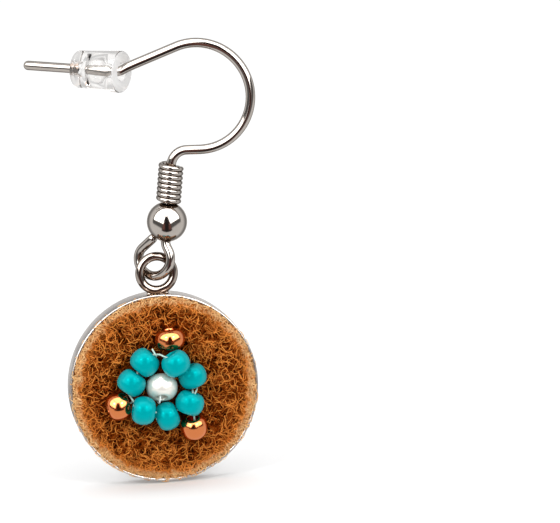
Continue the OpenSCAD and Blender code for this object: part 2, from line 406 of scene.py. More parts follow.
def wool_finish(name, sizes, painted_lift):
    """Wool fibres with painted shade in the depth and painted light on top and along the rim, each with its
    own tone.
    """
    look = Finish(name, Roughness=0.7, Specular_IOR_Level=0.03)
    tree = look.tree
    tone = out(put(tree, "ShaderNodeAttribute", attribute_name="tone"), "Fac")
    outward, height = over_felt(look, sizes)
    clump = noise_at(tree, look.place, scale=1100.0)
    # Painted shade low in the depth and painted light on top, by height, mixed with each fibre's random tone,
    # the clumps and the layer's painted lift
    level = added(tree, eased(tree, height, -0.15, 0.42, 0.0, 0.75), times(tree, tone, 0.7))
    level = added(tree, level, times(tree, clump, 0.5))
    level = added(tree, level, painted_lift)
    body = mixed(tree, eased(tree, level, 0.4, 1.1), sizes.wool_dark, sizes.wool)
    body = mixed(tree, eased(tree, level, 1.1, 1.75), body, sizes.wool_lit)
    return look.feed(Base_Color=painted_rim_light(tree, outward, body, sizes, tone))


def glass_finish(name, tint, rough, **uniform):
    """Glass beads with a faint cloud in the colour and small marks in the polish."""
    look = Finish(name, **uniform)
    tree = look.tree
    cloud = noise_at(tree, look.place, scale=700.0)
    marks = noise_at(tree, look.place, scale=6000.0)
    tone = mixed(tree, cloud, shaded(tint, 0.94), shaded(tint, 1.06))
    level = added(tree, times(tree, marks, rough * 0.6), rough * 0.7)
    bump = bumped(tree, cloud, strength=0.12, distance=0.02 * MM)
    return look.feed(Base_Color=tone, Roughness=level, Normal=bump)


def bead_finishes(sizes):
    """The slot and the material of each kind of bead, by the first word of its name."""
    petal = glass_finish("turquoise_glass", sizes.turquoise, rough=0.2, Specular_IOR_Level=0.5,
                         Specular_Tint=(0.0, 1.0, 1.0, 1.0))
    center = glass_finish("pearl_glass", sizes.pearl, rough=0.34, Metallic=0.4, Coat_Weight=0.6,
                          Coat_Roughness=0.2)
    accent = glass_finish("copper_plating", sizes.copper, rough=0.14, Metallic=1.0, Coat_Weight=0.4,
                          Coat_Roughness=0.08)
    return {
        "petal": ("turquoise_glass", petal), "center": ("pearl_glass", center),
        "accent": ("copper_glass", accent),
    }


def thread_finish(tint):
    """Pale twisted thread, whitest where it is thickest."""
    look = Finish("bead_thread", Roughness=0.55, Sheen_Weight=0.3, Specular_IOR_Level=0.3)
    tree = look.tree
    strands = noise_at(tree, look.place, scale=12000.0)
    tone = mixed(tree, strands, shaded(tint, 0.8), shaded(tint, 1.2))
    weight = out(put(tree, "ShaderNodeAttribute", attribute_name="weight"), "Fac")
    tone = mixed(tree, eased(tree, weight, 1.7, 2.3, 0.0, 0.8), tone, (0.93, 0.95, 0.92))
    return look.feed(Base_Color=tone, Normal=bumped(tree, strands, strength=0.5, distance=0.02 * MM))


# Meshes

def new_piece(mesh, body, replaces=(), material=None):
    """Puts a finished mesh in the scene under its own name and on its body."""
    piece = bpy.data.objects.new(mesh.name, mesh)
    bpy.context.scene.collection.objects.link(piece)
    if material is not None:
        mesh.materials.append(material)
    mesh.shade_smooth()
    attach(piece, body)
    if replaces:
        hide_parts(*replaces)


def mesh_of(name, shape):
    mesh = bpy.data.meshes.new(name)
    shape.to_mesh(mesh)
    shape.free()
    return mesh


def mesh_from(name, build, transform=None):
    """Makes a mesh with a function that fills a bmesh, sets it in place and points its faces outwards."""
    shape = bmesh.new()
    build(shape)
    bmesh.ops.remove_doubles(shape, verts=shape.verts, dist=1e-8)
    bmesh.ops.recalc_face_normals(shape, faces=shape.faces)
    if transform is not None:
        shape.transform(transform)
    return mesh_of(name, shape)


def turns(count):
    """Angles evenly round a circle."""
    return [2 * math.pi * k / count for k in range(count)]


def add_lathe(shape, profile, sides, transform=None):
    """Turns a profile of (radius, height) round Z.

    A profile whose two ends have a radius of 0 ends in poles there, and any other is closed.
    """
    poles = profile[0][0] == 0.0 and profile[-1][0] == 0.0
    placed = transform or Matrix.Identity(4)
    rings = []
    for radius, height in profile:
        if radius == 0.0:
            rings.append([shape.verts.new(placed @ Vector((0.0, 0.0, height)))] * sides)
            continue
        rings.append([
            shape.verts.new(placed @ Vector((radius * math.cos(a), radius * math.sin(a), height)))
            for a in turns(sides)
        ])
    pairs = list(zip(rings, rings[1:])) + ([] if poles else [(rings[-1], rings[0])])
    for lower, upper in pairs:
        for k in range(sides):
            n = (k + 1) % sides
            corners = list(dict.fromkeys([lower[k], lower[n], upper[n], upper[k]]))
            if len(corners) > 2:
                shape.faces.new(corners)


def skin_rows(shape, rows):
    """Faces between closed rows of points, and one face over each end."""
    for one, two in zip(rows, rows[1:]):
        for k in range(len(one)):
            n = (k + 1) % len(one)
            shape.faces.new([one[k], one[n], two[n], two[k]])
    shape.faces.new(rows[0])
    shape.faces.new(rows[-1])


def arc(centre, radius, start, end, count):
    """Points of an arc in a profile, with angles in degrees."""
    angles = [math.radians(start + (end - start) * k / count) for k in range(count + 1)]
    return [(centre[0] + radius * math.cos(a), centre[1] + radius * math.sin(a)) for a in angles]


# The bent wire as two tables of steps from the top of the bow: bend radius in mm, turn in degrees, straight
# in mm, and the roll before the step in degrees
TAIL_STEPS = [
    (3.95, 20.5, 0, 0),
    (0, 0, 3.4, 0),
    (9, 6, 0, 0),
    (0.9, -35.5, 0, 37),
    (0, 0, 7.4, 0),
]
FRONT_STEPS = [
    (3.95, -180, 0, 0),
    (0, 0, 1, 0),
    (1.2, 82.5, 0, 0),
    (0, 0, 5.65, 0),
    (0.9, 38, 0, 27),
    (0, 0, 0.2, 0),
    (1.16, -57, 0, 0),
    (1.55, -103, 0, 0),
    (1.1, -103, 0, 0),
    (0, 0, 1.15, 0),
]
STEPS_TO_STEM, STEPS_TO_TAIL = 3, 4
BOW_YAW = math.radians(15)

# How finely the wire is cut: the longest piece of a bend and of a straight, and the rows of a round end
BEND_PIECE = math.radians(4)
STRAIGHT_PIECE = 0.6 * MM
END_ROWS = [math.radians(a) for a in (85, 70, 52, 34, 16)]

# The pieces on the wire: where the coil starts to turn, the rounding at the ball's bore, and how far the
# stopper's face lies before the start of the straight tail
COIL_START = math.radians(180)
BALL_LIP = 0.07 * MM
RECESS_DEPTH = 0.55 * MM


class Bend:
    """A point of the wire: its place, its heading, the axis that it turns about and a mark across it."""

    def __init__(self, place, heading, axis, mark):
        self.place, self.heading, self.axis, self.mark = place, heading, axis, mark

    def rolled(self, angle):
        return Bend(self.place, self.heading, Matrix.Rotation(angle, 3, self.heading) @ self.axis, self.mark)

    def moved(self, step, share):
        radius, turn, straight, _ = step
        if radius == 0:
            return Bend(self.place + self.heading * straight * MM * share, self.heading, self.axis, self.mark)
        turned = Matrix.Rotation(math.radians(turn) * share, 3, self.axis)
        centre = self.place + math.copysign(radius * MM, turn) * self.axis.cross(self.heading)
        place = centre + turned @ (self.place - centre)
        return Bend(place, turned @ self.heading, self.axis, turned @ self.mark)

    def matrix(self):
        """Sets a shape at this point, with +Z along the heading."""
        across = self.heading.cross(self.mark)
        turned = Matrix((self.mark, across, self.heading)).transposed().to_4x4()
        return Matrix.Translation(self.place) @ turned


def start_of_wire(sign):
    """The top of the bow, heading for the stem with a sign of 1 and for the tail with -1."""
    right = Vector((math.cos(BOW_YAW), -math.sin(BOW_YAW), 0.0))
    axis = right.cross(Vector((0.0, 0.0, 1.0)))
    return Bend(Vector((0.0, 0.0, 0.0)), sign * right, axis, axis.copy())


def walk(steps, start, count=None):
    """Every point of the wire along its first steps, from the one after the start."""
    points, now = [], start
    for step in steps[:count]:
        radius, turn, straight, roll = step
        now = now.rolled(math.radians(roll))
        pieces = abs(math.radians(turn)) / BEND_PIECE if radius else straight * MM / STRAIGHT_PIECE
        pieces = max(1, math.ceil(pieces))
        points += [now.moved(step, k / pieces) for k in range(1, pieces + 1)]
        now = now.moved(step, 1)
    return points


def stem_start():
    return walk(FRONT_STEPS, start_of_wire(1), STEPS_TO_STEM)[-1]


def tail_start():
    return walk(TAIL_STEPS, start_of_wire(-1), STEPS_TO_TAIL)[-1]


def wire_row(shape, place, mark, across, radius, sides):
    return [
        shape.verts.new(place + radius * (math.cos(a) * mark + math.sin(a) * across))
        for a in turns(sides)
    ]


def round_end(end, sign, radius):
    """Rows of a round end of the wire, from its tip to its foot."""
    return [
        (end.place + end.heading * radius * math.sin(a), end.mark, sign * end.heading.cross(end.mark),
         radius * math.cos(a))
        for a in END_ROWS
    ]


def build_hook(shape, wire_d, sides):
    """Sweeps the wire from the tip of the tail over the bow to the end of the loop, with round ends."""
    radius = wire_d / 2
    tail = walk(TAIL_STEPS, start_of_wire(-1))
    front = [start_of_wire(1)] + walk(FRONT_STEPS, start_of_wire(1))
    rows = round_end(tail[-1], -1, radius)
    rows += [(p.place, p.mark, -p.heading.cross(p.mark), radius) for p in reversed(tail)]
    rows += [(p.place, p.mark, p.heading.cross(p.mark), radius) for p in front]
    rows += reversed(round_end(front[-1], 1, radius))
    skin_rows(shape, [wire_row(shape, *row, sides) for row in rows])


def build_ball(shape, ball_d, bore_d):
    """Ball with a bore whose edges are rounded."""
    radius, bore, lip = ball_d / 2, bore_d / 2, BALL_LIP
    edge = math.degrees(math.asin((bore + lip) / radius))
    outer = arc((0.0, 0.0), radius, -90 + edge, 90 - edge, count=64)
    top = outer[-1][1]
    upper = arc((bore + lip, top - lip), lip, 80, 180, count=6)
    lower = [(r, -h) for r, h in reversed(upper)]
    add_lathe(shape, outer + upper + lower, sides=96)


def stopper_profile(wire):
    """Barrel with a recess in its face, a chamber inside and moulded, rounded edges."""
    front, back = -RECESS_DEPTH, wire.stopper_length - RECESS_DEPTH
    front_r, back_r, bore = wire.stopper_front_d / 2, wire.stopper_back_d / 2, wire.wire_d / 2 + 0.02 * MM
    recess, chamber, edge, lip = 0.675 * MM, 0.85 * MM, 0.12 * MM, 0.06 * MM
    near, far, bevel = front + 1.0 * MM, front + 2.8 * MM, 0.2 * MM
    points = arc((recess + lip, front + lip), lip, 180, 270, count=4)
    points += arc((front_r - edge, front + edge), edge, -90, 0, count=5)
    points += arc((back_r - edge, back - edge), edge, 0, 90, count=5)
    points += arc((bore + lip, back - lip), lip, 90, 180, count=4)
    points += [(bore, far + bevel), (chamber, far), (chamber, near + bevel), (bore, near), (bore, 0.0)]
    return points


# Pieces made by nodes

def tree_with(name, sockets):
    """A geometry tree with named inputs, each with its socket type, and the outputs that give them."""
    tree = bpy.data.node_groups.new(name, "GeometryNodeTree")
    tree.interface.new_socket("Geometry", in_out="OUTPUT", socket_type="NodeSocketGeometry")
    tree.interface.new_socket("Geometry", in_out="INPUT", socket_type="NodeSocketGeometry")
    for text, kind in sockets:
        tree.interface.new_socket(text, in_out="INPUT", socket_type="NodeSocket" + kind)
    given = tree.nodes.new("NodeGroupInput")
    return tree, given.outputs


def finish_tube(tree, curve, material, radius, sides):
    """Gives the curves a round section, and ends the tree with a real mesh in its material."""
    section = put(tree, "GeometryNodeCurvePrimitiveCircle", {"Resolution": sides, "Radius": radius})
    tube = put(tree, "GeometryNodeCurveToMesh", {
        "Curve": curve, "Profile Curve": out(section), "Fill Caps": True,
    })
    smooth = put(tree, "GeometryNodeSetShadeSmooth", {"Geometry": out(tube)})
    real = put(tree, "GeometryNodeRealizeInstances", {"Geometry": out(smooth)})
    dressed = put(tree, "GeometryNodeSetMaterial", {"Geometry": out(real), "Material": material})
    put(tree, "NodeGroupOutput", {"Geometry": out(dressed)})


def mesh_by_nodes(name, tree, values, base=None):
    """Runs a tree on a base mesh and returns the result as a plain mesh."""
    holder = bpy.data.objects.new(name + "_maker", base or bpy.data.meshes.new(name + "_base"))
    modifier = holder.modifiers.new("nodes", "NODES")
    modifier.node_group = tree
    for item in tree.interface.items_tree:
        if item.in_out == "INPUT" and item.name in values:
            modifier[item.identifier] = values[item.name]
    bpy.context.scene.collection.objects.link(holder)
    depsgraph = bpy.context.evaluated_depsgraph_get()
    mesh = bpy.data.meshes.new_from_object(holder.evaluated_get(depsgraph), preserve_all_data_layers=True,
                                           depsgraph=depsgraph)
    holder.modifiers.remove(modifier)
    bpy.data.objects.remove(holder)
    mesh.name = name
    return mesh


def attribute_of(tree, name):
    """The value that an attribute of the mesh has at each point."""
    return out(put(tree, "GeometryNodeInputNamedAttribute", {"Name": name}, data_type="FLOAT"))


def random_value(tree, low, high, seed):
    return out(put(tree, "FunctionNodeRandomValue", {2: low, 3: high, "Seed": seed}, data_type="FLOAT"), 1)


def coil_tree():
    """A wire wound round Z: turns, height, radius of the turns and radius of the wire."""
    tree, given = tree_with("wound_coil", [
        ("Turns", "Float"), ("Height", "Float"), ("Turn Radius", "Float"), ("Wire Radius", "Float"),
        ("Points Per Turn", "Int"), ("Sides", "Int"), ("Material", "Material"),
    ])
    spiral = put(tree, "GeometryNodeCurveSpiral", {
        "Resolution": given["Points Per Turn"], "Rotations": given["Turns"], "Height": given["Height"],
        "Start Radius": given["Turn Radius"], "End Radius": given["Turn Radius"],
    })
    finish_tube(tree, out(spiral), given["Material"], radius=given["Wire Radius"], sides=given["Sides"])
    return tree


# The pendant: local X right, Y up and Z towards the front, from the middle of the bezel

def at_pendant():
    return Matrix.Translation(BEZEL_MIDDLE) @ Matrix.Rotation(math.radians(90), 4, "X")


def bezel_profile(sizes):
    """Tray with a thin wall, a rolled rim and a soft edge at the back."""
    radius, back, rim = sizes.bezel_d / 2, -sizes.bezel_depth / 2, sizes.bezel_depth / 2
    soft, lip = 0.15 * MM, sizes.wall / 2
    inner = radius - sizes.wall
    floor = back + sizes.floor
    points = [(0.0, back)]
    points += arc((radius - soft, back + soft), soft, -90, 0, count=6)
    points += arc((radius - lip, rim - lip), lip, 0, 180, count=10)
    points += arc((inner - soft / 2, floor + soft / 2), soft / 2, 0, -90, count=4)
    return points + [(0.0, floor)]


def build_bezel(shape, sizes):
    """The tray, the ring that stands on it and the two feet of solder."""
    add_lathe(shape, bezel_profile(sizes), sides=192)
    rise = RING_MIDDLE.z - BEZEL_MIDDLE.z
    turn_r = (sizes.ring_d - sizes.ring_wire_d) / 2
    section = arc((turn_r, 0.0), sizes.ring_wire_d / 2, 0, 360, count=24)[:-1]
    add_lathe(shape, section, sides=96, transform=Matrix.Translation((0.0, rise, 0.0)))
    for side in (-1, 1):
        build_solder(shape, solder_outline(sizes, side, rise))


# Solder: the radius of its hollow face, how far that face cuts into the ring and the wall, its points, and
# its rows as distance from the ring's middle plane in mm and share of the outline's size
SOLDER_HOLLOW = 0.16 * MM
SOLDER_CUT = 0.05 * MM
SOLDER_POINTS = 8
SOLDER_ROWS = [(0.19, 0.15), (0.18, 0.35), (0.15, 0.6), (0.1, 0.82), (0.04, 0.95)]


def solder_outline(sizes, side, rise):
    """The corner between the ring and the wall, with a hollow outer face that touches both."""
    to_bezel = sizes.bezel_d / 2 + SOLDER_HOLLOW - SOLDER_CUT
    to_ring = sizes.ring_d / 2 + SOLDER_HOLLOW - SOLDER_CUT
    spread = math.acos((to_ring ** 2 + rise ** 2 - to_bezel ** 2) / (2 * to_ring * rise))
    centre = Vector((side * to_ring * math.sin(spread), rise - to_ring * math.cos(spread)))
    start = math.atan2(rise - centre.y, -centre.x)
    end = math.atan2(-centre.y, -centre.x)
    turn = (end - start + math.pi) % (2 * math.pi) - math.pi
    angles = [start + turn * k / SOLDER_POINTS for k in range(SOLDER_POINTS + 1)]
    hollow = [centre + SOLDER_HOLLOW * Vector((math.cos(a), math.sin(a))) for a in angles]
    top = Vector((0.0, rise - sizes.ring_d / 2 + sizes.ring_wire_d * 0.6))
    root = Vector((0.0, sizes.bezel_d / 2 - 0.13 * MM))
    return [top] + hollow + [root]


def build_solder(shape, outline):
    """One foot of solder: rows of its outline that shrink to the front and to the back."""
    centre = sum(outline, Vector((0.0, 0.0))) / len(outline)
    rows = SOLDER_ROWS + [(-depth, share) for depth, share in reversed(SOLDER_ROWS)]
    skin_rows(shape, [
        [shape.verts.new((*(centre + (p - centre) * share), depth * MM)) for p in outline]
        for depth, share in rows
    ])


# Beads: x and y from the bezel's middle, height of the bead's middle above the rim, direction of its hole in
# the bezel's plane, tip of the hole out of that plane, outer diameter and length; millimetres and degrees
BEADS = {
    "petal_bead_1": (-1.5, 2.25, 1.24, 45, 0, 2.18, 1.7),
    "petal_bead_2": (0.7, 2.15, 2.12, 119, 0, 2.12, 1.64),
    "petal_bead_3": (1.99, 0.92, 1.06, 108, 0, 2.12, 1.64),
    "petal_bead_4": (1.64, -0.98, 1.52, 68, 0, 2.12, 1.64),
    "petal_bead_5": (-0.07, -1.89, 1.26, 19, 0, 2.12, 1.64),
    "petal_bead_6": (-1.85, -1.2, 1.98, -10, 0, 2.12, 1.64),
    "petal_bead_7": (-2.57, 0.81, 1.32, 52, 0, 2.12, 1.64),
    "center_bead": (-0.33, 0.29, 1.15, -97, 35, 2.34, 1.72),
    "accent_bead_1": (0.5, 3.79, 0.98, 93, 0, 2.26, 1.5),
    "accent_bead_2": (-3.6, -0.92, 1.08, 11, 0, 2.1, 1.65),
    "accent_bead_3": (1.9, -2.87, 1.03, 97, 22, 2.05, 1.65),
}

# The power that plumps a bead's oval, where 1 is a plain ellipse, and the size and scale of its glass's waves
BEAD_POWER = 0.96
GLASS_WAVE, GLASS_WAVE_SCALE = 0.008, 650


def on_pendant(x, y, lift):
    """A point on the pendant in millimetres, with its height above the rim, as a place in the frame."""
    return at_pendant() @ Vector((x * MM, y * MM, BEZEL_DEPTH / 2 + lift * MM))


def bead_matrix(name):
    x, y, lift, spin, tip = BEADS[name][:5]
    turned = Matrix.Rotation(math.radians(spin), 4, "Z") @ Matrix.Rotation(math.radians(90 - tip), 4, "Y")
    local = Matrix.Translation((x * MM, y * MM, BEZEL_DEPTH / 2 + lift * MM))
    return at_pendant() @ local @ turned


def bead_profile(name, sizes):
    """A plump half oval, longest at its lip, which rounds down into the hole."""
    outer, tall = BEADS[name][5] * MM / 2, BEADS[name][6] * MM / 2
    lip_r = sizes.hole_d / 2 + sizes.lip_width
    points = []
    for a in (math.radians(4.5 * k) for k in range(-20, 21)):
        across, up = abs(math.cos(a)) ** BEAD_POWER, abs(math.sin(a)) ** BEAD_POWER
        points.append((lip_r + (outer - lip_r) * across, math.copysign(tall * up, a)))
    lip = [
        (lip_r - sizes.lip_width * math.sin(a), tall - sizes.lip_depth * (1.0 - math.cos(a)))
        for a in (math.radians(15 * k) for k in range(1, 7))
    ]
    return points + lip + [(r, -z) for r, z in reversed(lip)]


def build_bead(shape, name, sizes):
    """A turned bead with the slight waves of drawn glass, which go inwards more than outwards."""
    add_lathe(shape, bead_profile(name, sizes), sides=64)
    phase = Vector((3.1, 1.7, 0.6)) * (1 + list(BEADS).index(name))
    for v in shape.verts:
        v.co *= 1.0 + GLASS_WAVE * (noise.noise(v.co * GLASS_WAVE_SCALE + phase) - 0.45)


# The felt: its gaps to the bezel and to the beads, and the rings and sides of its face
FELT_GAP = 0.04 * MM
DIMPLE_GAP = 0.1 * MM
POLAR_RINGS, POLAR_SIDES = 70, 220

# The felt's tufts: height in mm, scale of the noise and the slice of it that they follow
TUFTS = [(0.09, 1500, 0.0), (0.05, 4200, 0.004)]

# Where fibres grow: the least upward share of a face's normal, how far from a bead's middle they start as a
# share of its diameter, over what width they thicken there, and the scale of the noise of their clumps
ROOT_UPWARD = 0.2
BEAD_SHADE = 0.4
BEAD_ROOM = 0.6 * MM
CLUMP_SCALE = 1400


def clamped(value):
    return max(0.0, min(1.0, value))


def felt_height(x, y, sizes):
    """Height of the felt above the bezel's middle plane: crowned, tufted and dented under the beads."""
    radius = sizes.bezel_d / 2 - sizes.wall
    height = sizes.bezel_depth / 2 + sizes.crown - sizes.sag * (math.hypot(x, y) / radius) ** 2
    for tuft, scale, layer in TUFTS:
        height += tuft * MM * noise.noise(Vector((x, y, layer)) * scale)
    for bx, by, lift, _, _, outer, _ in BEADS.values():
        reach = outer * MM / 2 + DIMPLE_GAP
        away = math.hypot(x - bx * MM, y - by * MM)
        if away < reach:
            under = sizes.bezel_depth / 2 + lift * MM - math.sqrt(reach ** 2 - away ** 2)
            height = min(height, under)
    return height


def build_felt(shape, sizes):
    """A closed disc on rings round its middle: the tufted face, the side and the back."""
    radius = sizes.bezel_d / 2 - sizes.wall - FELT_GAP
    back = -sizes.bezel_depth / 2 + sizes.floor + FELT_GAP
    centre = shape.verts.new((0.0, 0.0, felt_height(0.0, 0.0, sizes)))
    rings = []
    for r in (radius * i / POLAR_RINGS for i in range(1, POLAR_RINGS + 1)):
        places = [(r * math.cos(a), r * math.sin(a)) for a in turns(POLAR_SIDES)]
        rings.append([shape.verts.new((x, y, felt_height(x, y, sizes))) for x, y in places])
    low = [shape.verts.new((v.co.x, v.co.y, back)) for v in rings[-1]]
    bottom = shape.verts.new((0.0, 0.0, back))
    for k in range(POLAR_SIDES):
        n = (k + 1) % POLAR_SIDES
        shape.faces.new([centre, rings[0][k], rings[0][n]])
        for one, two in zip(rings, rings[1:] + [low]):
            shape.faces.new([one[k], two[k], two[n], one[n]])
        shape.faces.new([low[k], bottom, low[n]])


def beside_beads(place):
    """0 under a bead, and 1 where a fibre has room beside it."""
    free = 1.0
    for x, y, _, _, _, outer, _ in BEADS.values():
        away = math.hypot(place.x - x * MM, place.y - y * MM) - BEAD_SHADE * outer * MM
        free = min(free, clamped(away / BEAD_ROOM))
    return free


def root_mesh(sizes):
    """The face that the fibres grow from.

    Its attributes say how thick and how long they stand, and how thick the fuzz at the rim is.
    """
    shape = bmesh.new()
    build_felt(shape, sizes)
    bmesh.ops.recalc_face_normals(shape, faces=shape.faces)
    bmesh.ops.delete(shape, geom=[f for f in shape.faces if f.normal.z <= ROOT_UPWARD], context="FACES")
    thick = shape.verts.layers.float.new("thick")
    long = shape.verts.layers.float.new("long")
    fringe = shape.verts.layers.float.new("fringe")
    radius = sizes.bezel_d / 2 - sizes.wall
    for v in shape.verts:
        clump = 0.5 + 0.5 * noise.noise(v.co * CLUMP_SCALE)
        v[thick] = beside_beads(v.co) * (0.45 + 1.1 * clamped((clump - 0.3) / 0.4))
        outward = math.hypot(v.co.x, v.co.y) / radius
        v[long] = 1.0 - 0.35 * clamped((outward - 0.85) / 0.15)
        low_side = 0.6 - 0.25 * (v.co.x + v.co.y) / radius
        v[fringe] = low_side * clamped((outward - 0.88) / 0.06)
    return mesh_of("felt_roots", shape)


# How a curl grows: the range of its sizes, the scale of its waves, the share of what reaches past the rim
# that is drawn back, and how much thinner its tip is than its root
CURL_SIZES = (0.55, 1.35)
WAVE_SCALE = 1900.0
DRAWN_BACK = 0.82
TIP_TAPER = 0.55


def curls(tree, given):
    """Arcs that lie over the surface at random tilts and sizes, each with its own tone."""
    thick = times(tree, given["Density"], attribute_of(tree, given["Where"]))
    roots = put(tree, "GeometryNodeDistributePointsOnFaces", {
        "Mesh": given["Geometry"], "Density": thick, "Seed": given["Seed"],
    })
    any_way = put(tree, "FunctionNodeRandomValue", {
        0: (-1.0, -1.0, -1.0), 1: (1.0, 1.0, 1.0), "Seed": given["Seed"],
    }, data_type="FLOAT_VECTOR")
    way = vector_maths(tree, "ADD", out(roots, "Normal"), scaled(tree, out(any_way), given["Tilt"]))
    tilted = put(tree, "FunctionNodeAlignRotationToVector", {"Vector": way}, axis="Z")
    spin = put(tree, "FunctionNodeAxisAngleToRotation", {"Angle": random_value(tree, 0.0, 2 * math.pi, 3)})
    turned = put(tree, "FunctionNodeRotateRotation", {
        "Rotation": out(tilted), "Rotate By": out(spin),
    }, rotation_space="LOCAL")
    curl = put(tree, "GeometryNodeCurveArc", {
        "Resolution": given["Points"], "Radius": 1.0, "Sweep Angle": given["Sweep"],
    })
    size = times(tree, given["Curl Radius"], attribute_of(tree, "long"))
    grown = put(tree, "GeometryNodeInstanceOnPoints", {
        "Points": out(roots), "Instance": out(curl), "Rotation": out(turned),
        "Scale": times(tree, size, random_value(tree, *CURL_SIZES, 5)),
    })
    toned = put(tree, "GeometryNodeStoreNamedAttribute", {
        "Geometry": out(grown), "Name": "tone", "Value": random_value(tree, 0.0, 1.0, 7),
    }, data_type="FLOAT", domain="INSTANCE")
    return out(put(tree, "GeometryNodeRealizeInstances", {"Geometry": out(toned)}))


def waved(tree, curves, reach):
    """Bends the curves by a noise in space."""
    here = out(put(tree, "GeometryNodeInputPosition"))
    wave = put(tree, "ShaderNodeTexNoise", {
        "Vector": here, "Scale": WAVE_SCALE, "Detail": 2.0, "Roughness": 0.6,
    })
    offset = scaled(tree, vector_maths(tree, "SUBTRACT", out(wave, "Color"), (0.5, 0.5, 0.5)), reach)
    return out(put(tree, "GeometryNodeSetPosition", {"Geometry": curves, "Offset": offset}))


def held_inside(tree, curves, rim_radius):
    """Draws what reaches past the rim most of the way back."""
    flat = vector_maths(tree, "MULTIPLY", out(put(tree, "GeometryNodeInputPosition")), (1.0, 1.0, 0.0))
    radius = vector_maths(tree, "LENGTH", flat, result="Value")
    over = maths(tree, "MAXIMUM", less(tree, radius, rim_radius), 0.0)
    back = scaled(tree, vector_maths(tree, "NORMALIZE", flat), times(tree, over, -DRAWN_BACK))
    return out(put(tree, "GeometryNodeSetPosition", {"Geometry": curves, "Offset": back}))


def wool_tree():
    """Curls of wool on a surface, waved, held inside the rim and thinner towards their tips."""
    tree, given = tree_with("wool_curls", [
        ("Density", "Float"), ("Curl Radius", "Float"), ("Sweep", "Float"), ("Tilt", "Float"),
        ("Wave", "Float"), ("Thickness", "Float"), ("Rim Radius", "Float"), ("Points", "Int"),
        ("Seed", "Int"), ("Where", "String"), ("Material", "Material"),
    ])
    loose = waved(tree, curls(tree, given), given["Wave"])
    held = held_inside(tree, loose, given["Rim Radius"])
    along = out(put(tree, "GeometryNodeSplineParameter"), "Factor")
    taper = less(tree, 1.0, times(tree, along, TIP_TAPER))
    thin = put(tree, "GeometryNodeSetCurveRadius", {"Curve": held, "Radius": taper})
    finish_tube(tree, out(thin), given["Material"], radius=times(tree, given["Thickness"], 0.5), sides=3)
    return tree


# The layers of wool: fibres, curl radius in mm, sweep in degrees, tilt, wave in mm, points, how pale as
# painted light (darker for the layers in the depth, paler on top and at the rim), how far inside the bezel's
# outer edge they are held in mm, and the attribute that says how thick they stand
WOOL_LAYERS = {
    "felt_fibres_under": (5000, 0.34, 210, 0.55, 0.3, 7, -0.35, 0.22, "thick"),
    "felt_fibres_middle": (4600, 0.36, 180, 0.8, 0.45, 8, -0.05, 0.22, "thick"),
    "felt_fibres_upper": (4600, 0.4, 150, 1.1, 0.55, 8, 0.1, 0.2, "thick"),
    "felt_fibres_bright": (3300, 0.46, 130, 1.3, 0.6, 8, 0.5, 0.18, "thick"),
    "felt_fibres_rim": (17000, 0.5, 130, 1.1, 0.45, 7, 0.5, -0.02, "fringe"),
}
WOOL_SEED = 11


def layer_values(name, sizes):
    """The row of a layer as values for the wool tree, with a seed of its own."""
    fibres, curl, sweep, tilt, wave, points, pale, inside, where = WOOL_LAYERS[name]
    return {
        "Density": sizes.wool_share * fibres / (math.pi * (sizes.bezel_d / 2) ** 2),
        "Curl Radius": curl * MM,
        "Sweep": math.radians(sweep),
        "Tilt": tilt,
        "Wave": wave * MM,
        "Thickness": sizes.fibre_d,
        "Rim Radius": sizes.bezel_d / 2 - inside * MM,
        "Points": points,
        "Seed": WOOL_SEED + list(WOOL_LAYERS).index(name),
        "Where": where,
        "Material": wool_finish(name, sizes, pale),
    }


